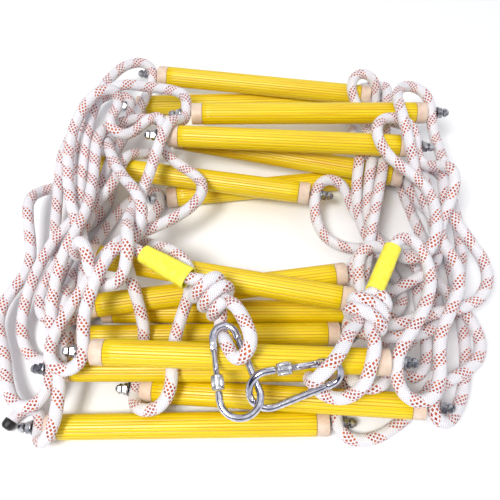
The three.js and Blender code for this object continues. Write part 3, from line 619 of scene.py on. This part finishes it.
# Laying out a rope: the spacing of its line, the smoothing of its runs, knot and whole, and the first points
# of a run, which stay inside the sleeve.
LINE_STEP = 0.004
RUN_BLUR = 2.4
KNOT_BLUR = 0.6
WHOLE_BLUR = 1.0
SLEEVED_POINTS = 16

# The plait's relief and the rounding of the rope's cut ends.
PLAIT_LOBES = 8
PLAIT_TWIST = 0.0052
PLAIT_RELIEF = 0.012
END_ROUNDING = 0.004
END_SHARE = 0.12

# The flame-sealed tip, from the rope outwards, and how lumpy it is.
TIP_PROFILE = [
    (-0.0085, 0.0063), (-0.0080, 0.0068), (-0.0050, 0.0069), (-0.0015, 0.0067), (0.0002, 0.0060),
    (0.0014, 0.0046), (0.0019, 0.0024), (0.0020, 0.0006),
]
TIP_SIDES = 24
TIP_LUMPS = 0.02


def centre_shift(tree, point, direction):
    """How far point is from the middle of the tube it is inside, or None outside the tube."""
    first = direction.orthogonal().normalized()
    second = direction.cross(first)
    spokes = []
    offsets = []
    for n in range(PROBES):
        angle = math.pi * n / PROBES
        spoke = first * math.cos(angle) + second * math.sin(angle)
        ahead = tree.ray_cast(point, spoke, PROBE_REACH)[3]
        behind = tree.ray_cast(point, -spoke, PROBE_REACH)[3]
        if ahead is not None and behind is not None:
            spokes.append((math.cos(angle), math.sin(angle)))
            offsets.append((ahead - behind) / 2)
    if len(spokes) < LEAST_PROBES:
        return None
    shift = np.linalg.lstsq(np.array(spokes), np.array(offsets), rcond=None)[0]
    return first * float(shift[0]) + second * float(shift[1])


def centreline(node, start, heading, holes):
    """The middle line of a CAD rope, found by stepping along its inside and straight past its bolt holes."""
    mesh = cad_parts[node].data
    tree = BVHTree.FromPolygons([v.co for v in mesh.vertices], [tuple(p.vertices) for p in mesh.polygons])
    line = [start.copy()]
    direction = heading.normalized()
    missed = 0
    while missed < BRIDGE:
        point = line[-1] + direction * WALK
        hole = min(holes, key=lambda place: (place - point).length)
        if (hole - point).length < HOLE_ZONE:
            if (hole - line[-1]).dot(direction) > WALK:
                direction = (hole - line[-1]).normalized()
            line.append(line[-1] + direction * WALK)
            continue
        shift = centre_shift(tree, point, direction)
        line.append(point)
        if shift is None:
            missed += 1
            continue
        missed = 0
        point += shift * CENTRING
        back = line[max(0, len(line) - LOOK_BACK)]
        direction = (point - back).normalized()
    return np.array(line[:-BRIDGE])


def knot_line(side):
    """The tied end of a rope, from its cut end to the sleeve: wraps, then the eye, then the standing part."""
    hitch = HITCHES_MM[side]
    knot = np.array(placed(hitch["knot"]))
    eye = [np.array(placed(point)) for point in hitch["eye"]]
    mouth = np.array(placed(hitch["sleeve"][0]))
    inward = knot - mouth
    outward = (eye[0] + eye[-1]) / 2 - knot
    axis = inward / np.linalg.norm(inward) + outward / np.linalg.norm(outward)
    axis /= np.linalg.norm(axis)
    apart = eye[0] - eye[-1]
    apart -= axis * np.dot(apart, axis)
    apart /= np.linalg.norm(apart)
    third = np.cross(axis, apart)

    wide = ROPE_RADIUS * WRAP_WIDE
    deep = ROPE_RADIUS * WRAP_DEEP
    pitch = ROPE_RADIUS * WRAP_PITCH
    wraps = []
    for step in range(0, int(WRAP_TURNS * WRAP_POINTS) + 1):
        angle = 2 * math.pi * step / WRAP_POINTS + WRAP_START
        swell = 1 - WRAP_BULGE * abs(step / (WRAP_TURNS * WRAP_POINTS) - 0.5)
        aside = apart * wide * swell * math.cos(angle) + third * deep * swell * math.sin(angle)
        wraps.append(knot + axis * (WRAP_TOP - pitch * step / WRAP_POINTS) + aside)
    spoke = wraps[-1] - knot
    spoke -= axis * np.dot(spoke, axis)
    tuck = knot + axis * TUCK_HEIGHT + spoke * TUCK_SHARE
    core_out = [knot + axis * height + apart * ROPE_RADIUS * aside for height, aside in CORE_OUT]
    core_back = [knot + axis * height + apart * ROPE_RADIUS * aside for height, aside in CORE_BACK]
    return catmull(wraps + [tuck] + core_out + eye[::-1] + core_back + [mouth], 6)


def clear_of_each_other(lines, locked):
    """Moves points of two ropes apart where they are closer than a rope's width."""
    points = np.concatenate(lines)
    number = np.concatenate([np.full(len(line), i) for i, line in enumerate(lines)])
    order = np.concatenate([np.arange(len(line)) for line in lines])
    free = ~np.concatenate(locked)
    squares = (points ** 2).sum(axis=1)
    apart = squares[:, None] + squares[None, :] - 2 * points @ points.T
    one, other = np.nonzero(np.triu(apart < (PRESSED_WIDTH + NEAR_GAP) ** 2, 1))
    neighbours = (number[one] == number[other]) & (np.abs(order[one] - order[other]) < SAME_STRETCH)
    one = one[~neighbours]
    other = other[~neighbours]
    for _ in range(CLEAR_ROUNDS):
        gap = points[one] - points[other]
        distance = np.linalg.norm(gap, axis=1)
        share = np.maximum(PRESSED_WIDTH - distance, 0) / np.maximum(distance, 1e-5) * PUSH_SHARE
        push = gap * share[:, None]
        move = np.zeros_like(points)
        np.add.at(move, one, push)
        np.subtract.at(move, other, push)
        size = np.linalg.norm(move, axis=1)[:, None]
        move *= np.minimum(1, LARGEST_MOVE / np.maximum(size, 1e-9))
        points[free] += move[free]
        points[:, 2] = np.maximum(points[:, 2], ROPE_RADIUS + FLOOR_GAP)
    ends = np.cumsum([len(line) for line in lines])[:-1]
    return np.split(points, ends)


def rope_line(side):
    """A rope's line from its sleeve to its cut end, past the bolt of every rung."""
    sleeve = [placed(point) for point in HITCHES_MM[side]["sleeve"]]
    heading = sleeve[1] - sleeve[0]
    start = sleeve[0] + heading.normalized() * 0.001
    reach = (RUNG_LENGTH / 2 + ROPE_FACE / 2) * (1 if side == "right" else -1)
    holes = [rung_matrix(number) @ Vector((reach, 0, 0)) for number in RUNG_NUMBERS]
    line = centreline(f"rope_{side}", start, heading, holes)
    if side not in TAILS_MM:
        return line
    last = int(np.linalg.norm(line - np.array(holes[-1]), axis=1).argmin())
    tail = [np.array(placed(point)) for point in TAILS_MM[side]]
    return np.concatenate([line[:last], catmull([line[last], *tail], 4)])


def plaited(line, travelled):
    """The rope's skin along a line: shallow lobes that cross each other, and rounded ends."""
    angles = 2 * np.pi * np.arange(ROPE_SIDES) / ROPE_SIDES
    first = np.cos(PLAIT_LOBES * angles[None, :] + travelled[:, None] / PLAIT_TWIST)
    second = np.cos(PLAIT_LOBES * angles[None, :] - travelled[:, None] / PLAIT_TWIST)
    radii = ROPE_RADIUS * (1.0 + PLAIT_RELIEF * (first + second))
    end = np.minimum(travelled, travelled[-1] - travelled)
    rounding = np.sqrt(np.clip(end / END_ROUNDING, END_SHARE, 1))
    return skin(tube_rings(line, radii * rounding[:, None], ROPE_SIDES), travelled)


def add_ropes():
    runs = [smoothed(respaced(rope_line(side), LINE_STEP), RUN_BLUR) for side in SIDES]
    locked = [np.arange(len(run)) < SLEEVED_POINTS for run in runs]
    runs = clear_of_each_other(runs, locked)
    for side, run in zip(SIDES, runs):
        tied = smoothed(respaced(knot_line(side), LINE_STEP), KNOT_BLUR)
        whole = respaced(np.concatenate([tied[:-1], run]), LINE_STEP)
        whole = respaced(smoothed(whole, WHOLE_BLUR), ROPE_RING)
        travelled = lengths_along(whole)
        vertices, faces, uvs = plaited(whole, travelled)
        rope = add_piece(f"braided_rope_{side}", vertices, faces, f"rope_{side}", "ladder", uvs)
        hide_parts(f"rope_{side}", f"knot_{side}")
        tip = add_tip(side, whole)


def add_tip(side, line):
    """The flame-sealed end of a rope: a lumpy black cap over its last few millimetres."""
    stretch = line[-4:]
    along = stretch[-1] - stretch[0]
    along /= np.linalg.norm(along)
    generator = np.random.default_rng(7 if side == "left" else 8)
    points = np.array([line[-1] + along * x for x, _ in TIP_PROFILE])
    radii = np.array([[radius] * TIP_SIDES for _, radius in TIP_PROFILE])
    radii *= 1 + generator.normal(0, TIP_LUMPS, radii.shape)
    vertices, faces, uvs = skin(tube_rings(points, radii, TIP_SIDES), lengths_along(points))
    return add_piece(f"melted_tip_{side}", vertices, faces, "tip", "ladder", uvs)


SLEEVE_SIDES = 64
SLEEVE_SQUARENESS = 0.8
SLEEVE_WALL = 0.0019
SLEEVE_SETBACK = 0.002
SLEEVE_LIP = 0.05
SLEEVE_TAPER = 0.7
SLEEVE_STATIONS = [
    0.0, 0.0006, 0.002, 0.008, 0.014, 0.02, 0.027, 0.034, 0.041, 0.048, 0.054, 0.0564, SLEEVE_LENGTH,
]


def sleeve_halves(x, wide, tall):
    """A sleeve's half width and half height at a station: a slow taper with faint waves and eased lips."""
    share = x / SLEEVE_LENGTH
    flat = wide - tall
    lip = 1 - SLEEVE_LIP * (x in (0.0, SLEEVE_LENGTH))
    half_wide = (wide - flat * SLEEVE_TAPER * share) * lip * (1 - 0.02 * math.sin(9 * share))
    sag = flat * 0.2 * math.sin(math.pi * share)
    half_tall = (tall - sag) * lip * (1 - 0.015 * math.sin(7 * share + 1))
    return half_wide, half_tall


def sleeve_ring(centre, width, up, half_wide, half_tall):
    """An oval with flattened faces, run so that its skin faces outward."""
    ring = []
    for angle in 2 * np.pi * np.arange(SLEEVE_SIDES) / SLEEVE_SIDES:
        across = math.copysign(abs(math.cos(angle)) ** SLEEVE_SQUARENESS, math.cos(angle))
        above = math.copysign(abs(math.sin(angle)) ** SLEEVE_SQUARENESS, math.sin(angle))
        ring.append(tuple(centre - width * half_wide * across + up * half_tall * above))
    return ring


def add_sleeves():
    for side in SIDES:
        hitch = HITCHES_MM[side]
        start, toward = [placed(point) for point in hitch["sleeve"]]
        along = (toward - start).normalized()
        up = along.cross(Vector((0, 1, 0))).normalized()
        width = up.cross(along)
        wide, tall = [value * MM for value in hitch["sleeve_half"]]
        rings = []
        for x in SLEEVE_STATIONS:
            half_wide, half_tall = sleeve_halves(x, wide, tall)
            rings.append(sleeve_ring(start + along * (SLEEVE_SETBACK + x), width, up, half_wide, half_tall))
        for x in (SLEEVE_LENGTH, 0.0):
            inner = wide - (wide - tall) * SLEEVE_TAPER * x / SLEEVE_LENGTH - SLEEVE_WALL
            bore_wide = max(SLEEVE_BORE, inner)
            rings.append(sleeve_ring(start + along * (SLEEVE_SETBACK + x), width, up, bore_wide, SLEEVE_BORE))
        lay = SLEEVE_STATIONS + [SLEEVE_LENGTH + 0.004, SLEEVE_LENGTH * 2, SLEEVE_LENGTH * 2 + 0.004]
        vertices, faces, uvs = skin(np.array(rings), lay, closed=True)
        sleeve = add_piece(f"soft_sleeve_{side}", vertices, faces, "sleeve", "ladder", uvs, sharp=50)
        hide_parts(f"sleeve_{side}")


# ---------------------------------------------------------------- rungs

def rung_matrix(number):
    """A rung's place, read from its CAD tube: X along it, Z as near up as it goes."""
    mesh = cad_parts[f"rung_{number:02d}_tube"].data
    points = np.array([v.co for v in mesh.vertices])
    centre = (points.max(axis=0) + points.min(axis=0)) / 2
    spread = np.linalg.svd(points - centre, full_matrices=False)[2][0]
    along = Vector(spread if spread[0] > 0 else -spread)
    across = Vector((0, 0, 1)).cross(along).normalized()
    up = along.cross(across)
    basis = Matrix((along, across, up)).transposed().to_4x4()
    return Matrix.Translation(Vector(centre)) @ basis


FLUTE_SPREAD = 0.11
TUBE_CHAMFER = 0.0006
TUBE_GAP = 0.0003

# Each rung's streaks start this much further along the pattern, and its nuts are turned this much further.
STREAK_OFFSET = 0.37
NUT_TURN = 0.7

# The fasteners of a rung end, as distances outward and radii.
WASHER = [(0, 0.0032), (0, 0.0072), (0.0002, 0.0074), (0.0011, 0.0074), (0.0013, 0.0072), (0.0013, 0.0032)]
NUT = [(0, 0.0030), (0, 0.0056), (0.0005, 0.0063), (0.0045, 0.0063), (0.0050, 0.0056), (0.0050, 0.0030)]
DOME = [
    (0, 0.0030), (0, 0.0049), (0.0004, 0.0053), (0.0034, 0.0053), (0.0038, 0.0044), (0.0056, 0.0038),
    (0.0068, 0.0024), (0.0072, 0.0006),
]
DOME_LENGTH = 0.0072
NUT_SETBACK = 0.0014
THREAD_CREST = 0.0030
THREAD_DEPTH = 0.0004
THREAD_PITCH = 0.001


def fluted(angles):
    """Each angle's share of the rung's radius, less in the grooves."""
    turn = np.mod(angles * FLUTES / (2 * np.pi) + 0.5, 1) - 0.5
    return 1 - FLUTE_DEPTH / RUNG_RADIUS * np.exp(-(turn / FLUTE_SPREAD) ** 2)


def tube_piece(number, place):
    sides = FLUTES * 8
    half = RUNG_LENGTH / 2 - PLUG_COLLAR - TUBE_GAP
    inner = RUNG_RADIUS - TUBE_WALL
    profile = [(-half, RUNG_RADIUS - TUBE_CHAMFER), (-half + TUBE_CHAMFER, RUNG_RADIUS)]
    profile += [(x, RUNG_RADIUS) for x in np.linspace(-half + 0.01, half - 0.01, 9)]
    profile += [(half - TUBE_CHAMFER, RUNG_RADIUS), (half, RUNG_RADIUS - TUBE_CHAMFER)]
    shell = turned(profile, sides, fluted)
    bore = turned([(half, inner), (-half, inner)], sides)
    rings = moved(np.concatenate([shell, bore]), place)
    lay = [x for x, _ in profile] + [half + 0.003, -half - 0.003, -half]
    vertices, faces, uvs = skin(rings, [x + number * STREAK_OFFSET for x in lay], closed=True)
    tube = add_piece(f"ribbed_rung_{number:02d}", vertices, faces, "rung", "ladder", uvs, sharp=60)
    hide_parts(f"rung_{number:02d}_tube")


def plug_piece(number, side, place):
    """An end plug: the stub inside the tube, the collar, and the bolt's hole in its face."""
    face = RUNG_LENGTH / 2
    collar = face - PLUG_COLLAR
    outer = RUNG_RADIUS * 0.995
    profile = [
        (collar - 0.012, 0.0093), (collar - 0.0115, 0.0099), (collar, 0.0099),
        (collar + 0.0001, outer - 0.0004), (collar + 0.0005, outer),
        (face - 0.0012, outer), (face - 0.0004, outer - 0.0004), (face, outer - 0.0013), (face, 0.0034),
    ]
    plug = turned_piece(f"end_plug_{number:02d}_{side}", profile, 64, place, "plug", sharp=40)
    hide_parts(f"rung_{number:02d}_plug_{side}")


def hexagon(angles):
    return np.cos(np.pi / 6) / np.cos(np.mod(angles, np.pi / 3) - np.pi / 6)


def thread_profile(start, end):
    """A bolt's shank from inside the plug, then a crest for every turn of its thread."""
    root = THREAD_CREST - THREAD_DEPTH
    profile = [(start - 0.0022, root)]
    x = start
    while x < end:
        profile += [(x, root), (x + THREAD_PITCH / 2, THREAD_CREST)]
        x += THREAD_PITCH
    return profile


def bolt_pieces(number, side, place):
    """A washer, a nut, a domed nut and the bolt itself, outward from the rope."""
    washer_start = RUNG_LENGTH / 2 + ROPE_FACE
    dome_start = RUNG_LENGTH / 2 + BOLT_REACH - DOME_LENGTH
    spin = place @ Matrix.Rotation(number * NUT_TURN, 4, "X")
    label = f"{number:02d}_{side}"
    washer = shifted(WASHER, washer_start)
    nut = shifted(NUT, washer_start + NUT_SETBACK)
    dome = shifted(DOME, dome_start)
    shank = thread_profile(RUNG_LENGTH / 2 + 0.0002, dome_start + 0.001)
    turned_piece(f"washer_{label}", washer, 40, spin, "fastener", sharp=35)
    turned_piece(f"hex_nut_{label}", nut, 36, spin, "fastener", hexagon, sharp=25)
    turned_piece(f"cap_nut_{label}", dome, 36, spin, "fastener", hexagon, sharp=28)
    turned_piece(f"bolt_{label}", shank, 24, spin, "thread")


def add_rungs():
    for number in RUNG_NUMBERS:
        place = rung_matrix(number)
        tube_piece(number, place)
        for side in SIDES:
            towards = place if side == "right" else place @ Matrix.Rotation(math.pi, 4, "Z")
            plug_piece(number, side, towards)
            bolt_pieces(number, side, towards)


# ---------------------------------------------------------------- carabiners

WIRE_SIDES = 20
NARROW_STEPS = 28
SPINE_STEPS = 24
WIDE_STEPS = 40

# The raised collar on the wire just past the narrow bow, as factors for three rings, and the nose's end.
COLLAR_SWELL = (1.14, 1.20, 0.82)
NOSE_SHARE = 0.86

# An ear of the fork, and the gate's tongue: a square back, and a round front of this radius.
EAR_BACK = 0.0042
EAR_HALF = 0.0026
EAR_CENTRE = 0.0026
EAR_RADIUS = 0.0034
EAR_OFFSET = 0.0031
EAR_THICKNESS = 0.0016
TONGUE_THICKNESS = 0.0030
TONGUE_AHEAD = 0.0042
EAR_LEVELS = [(-1.0, 0.86), (-0.7, 1.0), (0.7, 1.0), (1.0, 0.86)]

KNURLS = 22
KNURL_DEPTH = 0.035
NUT_SIDES = 88
GATE_THREAD_AT = 0.0250
GATE_THREAD_DEPTH = 0.0003
PIN_REACH = 0.0042
PIN_HEAD = 0.0019
PIN_SHANK = 0.0012


def link_matrix(side):
    """A carabiner's place: X from its narrow bow to its wide bow, Y to the gate's side."""
    at, along, gate = LINKS_MM[side]
    x = unit(along)
    z = x.cross(Vector(gate)).normalized()
    y = z.cross(x)
    return Matrix.Translation(placed(at)) @ Matrix((x, y, z)).transposed().to_4x4()


def bow_point(centre, radius, angle):
    return np.array([centre + radius * math.cos(angle), radius * math.sin(angle), 0.0])


def gate_point(distance):
    start = bow_point(0, NARROW_BOW, math.pi / 2 + LEAN)
    return start + np.array([math.cos(LEAN), math.sin(LEAN), 0.0]) * distance


def gate_matrix():
    return Matrix.Translation(Vector(gate_point(GATE_START))) @ Matrix.Rotation(LEAN, 4, "Z")


def wire_path():
    """The middle of a ring's wire: from the gate's hinge round the narrow bow, the spine and the wide bow."""
    quarter = math.pi / 2 + LEAN
    narrow = math.pi - 2 * LEAN
    wide = math.pi + 2 * LEAN
    path = [gate_point(GATE_START - 0.0012)]
    for n in range(NARROW_STEPS + 1):
        path.append(bow_point(0, NARROW_BOW, quarter + narrow * n / NARROW_STEPS))
    spine_start = path[-1]
    spine_end = bow_point(BOW_SPACING, WIDE_BOW, -quarter)
    path += [spine_start + (spine_end - spine_start) * n / SPINE_STEPS for n in range(1, SPINE_STEPS)]
    for n in range(WIDE_STEPS + 1):
        path.append(bow_point(BOW_SPACING, WIDE_BOW, -quarter + wide * n / WIDE_STEPS))
    path += [gate_point(NOSE_AT + 0.0015), gate_point(NOSE_AT)]
    return np.array(path)


def frame_parts():
    path = wire_path()
    radii = np.full((len(path), WIRE_SIDES), WIRE_RADIUS)
    for ring, swell in enumerate(COLLAR_SWELL, NARROW_STEPS + 2):
        radii[ring] *= swell
    radii[-1] *= NOSE_SHARE
    return skin(tube_rings(path, radii, WIRE_SIDES), lengths_along(path))


def cheek(offset, thickness):
    """One ear of the gate's fork, or its tongue: a plate with a round front, standing on the gate's line."""
    turns = np.linspace(-math.pi / 2, math.pi / 2, 13)
    outline = [(EAR_CENTRE + EAR_RADIUS * math.cos(a), EAR_RADIUS * math.sin(a)) for a in turns]
    outline += [(-EAR_BACK, EAR_HALF), (-EAR_BACK, -EAR_HALF)]
    rings = []
    for level, shrink in EAR_LEVELS:
        rings.append([(x * shrink, y * shrink, offset + level * thickness / 2) for x, y in outline])
    return skin(np.array(rings), [0, 0.001, 0.002, 0.003])


def along_z(profile, sides):
    """A turned shape stood along Z, as the gate's pin is."""
    rings = turned(profile, sides)
    return np.stack([-rings[:, :, 2], rings[:, :, 1], rings[:, :, 0]], axis=2)


def knurl(angles):
    return 1 + KNURL_DEPTH * np.sign(np.sin(angles * KNURLS))


def lock_nut_parts():
    """The lock nut on the closed gate: a knurled middle between two smooth collars, and its bore."""
    end = NOSE_AT - GATE_START - 0.001
    start = end - NUT_LENGTH
    bore = GATE_RADIUS + 0.0003
    ring = NUT_RADIUS
    collar = [(0, bore), (0, ring * 0.88), (0.0008, ring), (0.0024, ring), (0.0027, ring * 0.93)]
    middle = [(start + 0.0030, ring * 0.95), (start + 0.0034, ring)]
    middle += [(end - 0.0034, ring), (end - 0.0030, ring * 0.95)]
    rings = np.concatenate([
        turned(shifted(collar, start), NUT_SIDES),
        turned(middle, NUT_SIDES, knurl),
        turned([(end - x, radius) for x, radius in reversed(collar)], NUT_SIDES),
    ])
    return skin(rings, list(np.linspace(0, 0.03, len(rings) + 1)), closed=True)


def gate_parts():
    """The gate's rod with its threaded end, and its tongue."""
    length = NOSE_AT - GATE_START - 0.0006
    profile = [(0.0062, 0.0016), (0.0064, 0.0026), (0.0072, GATE_RADIUS), (0.0240, GATE_RADIUS)]
    x = GATE_THREAD_AT
    while x < length - 0.002:
        profile += [(x, GATE_RADIUS), (x + THREAD_PITCH / 2, GATE_RADIUS - GATE_THREAD_DEPTH)]
        x += THREAD_PITCH
    profile += [(length - 0.0008, GATE_RADIUS), (length, GATE_RADIUS - 0.0005)]
    rod = skin(turned(profile, 28), [x for x, _ in profile])
    return rod, cheek(0.0, TONGUE_THICKNESS)


def pin_parts():
    """The hinge pin: a thin shank between two round heads."""
    head = [(0, 0.0008), (0.0002, 0.0017), (0.0006, PIN_HEAD), (0.0006, PIN_SHANK)]
    profile = shifted(head, -PIN_REACH) + [(PIN_REACH - x, radius) for x, radius in reversed(head)]
    return skin(along_z(profile, 24), list(np.linspace(0, 0.01, len(profile))))


def transformed(part, matrix):
    vertices, faces, uvs = part
    return moved(np.array(vertices), matrix), faces, uvs


def add_carabiner(side):
    place = link_matrix(side)
    on_gate = place @ gate_matrix()
    on_tongue = on_gate @ Matrix.Translation((TONGUE_AHEAD, 0, 0))
    rod, tongue = gate_parts()
    fork = [transformed(cheek(offset, EAR_THICKNESS), on_gate) for offset in (-EAR_OFFSET, EAR_OFFSET)]
    ring = join([transformed(frame_parts(), place)] + fork)
    gate = join([transformed(rod, on_gate), transformed(tongue, on_tongue)])
    nut = transformed(lock_nut_parts(), on_gate)
    pin = transformed(pin_parts(), on_gate)
    body = f"carabiner_{side}"
    pieces = [
        ("steel_ring", ring, "steel", body, 40, "frame"),
        ("steel_gate", gate, "steel", f"{body}_gate", 40, "gate"),
        ("knurled_nut", nut, "nut", f"{body}_lock_nut", 30, "lock_nut"),
        ("gate_rivet", pin, "nut", body, 40, "hinge_pin"),
    ]
    for name, (vertices, faces, uvs), material, rides, sharp, node in pieces:
        piece = add_piece(f"{name}_{side}", vertices, faces, material, rides, uvs, sharp=sharp)
        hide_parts(f"{body}_{node}")


# ---------------------------------------------------------------- the scene

add_camera()
add_world()
add_floor()
add_light("key", (-0.6, -0.9, 1.9), 0.6, 33, (1.0, 0.99, 0.97))
add_light("fill", (1.2, -0.3, 1.3), 1.3, 3.5, (0.96, 0.98, 1.0))
add_light("rim", (0.2, 1.4, 1.0), 0.9, 3, (1.0, 1.0, 1.0))
add_ropes()
add_sleeves()
add_rungs()
for link_side in SIDES:
    add_carabiner(link_side)
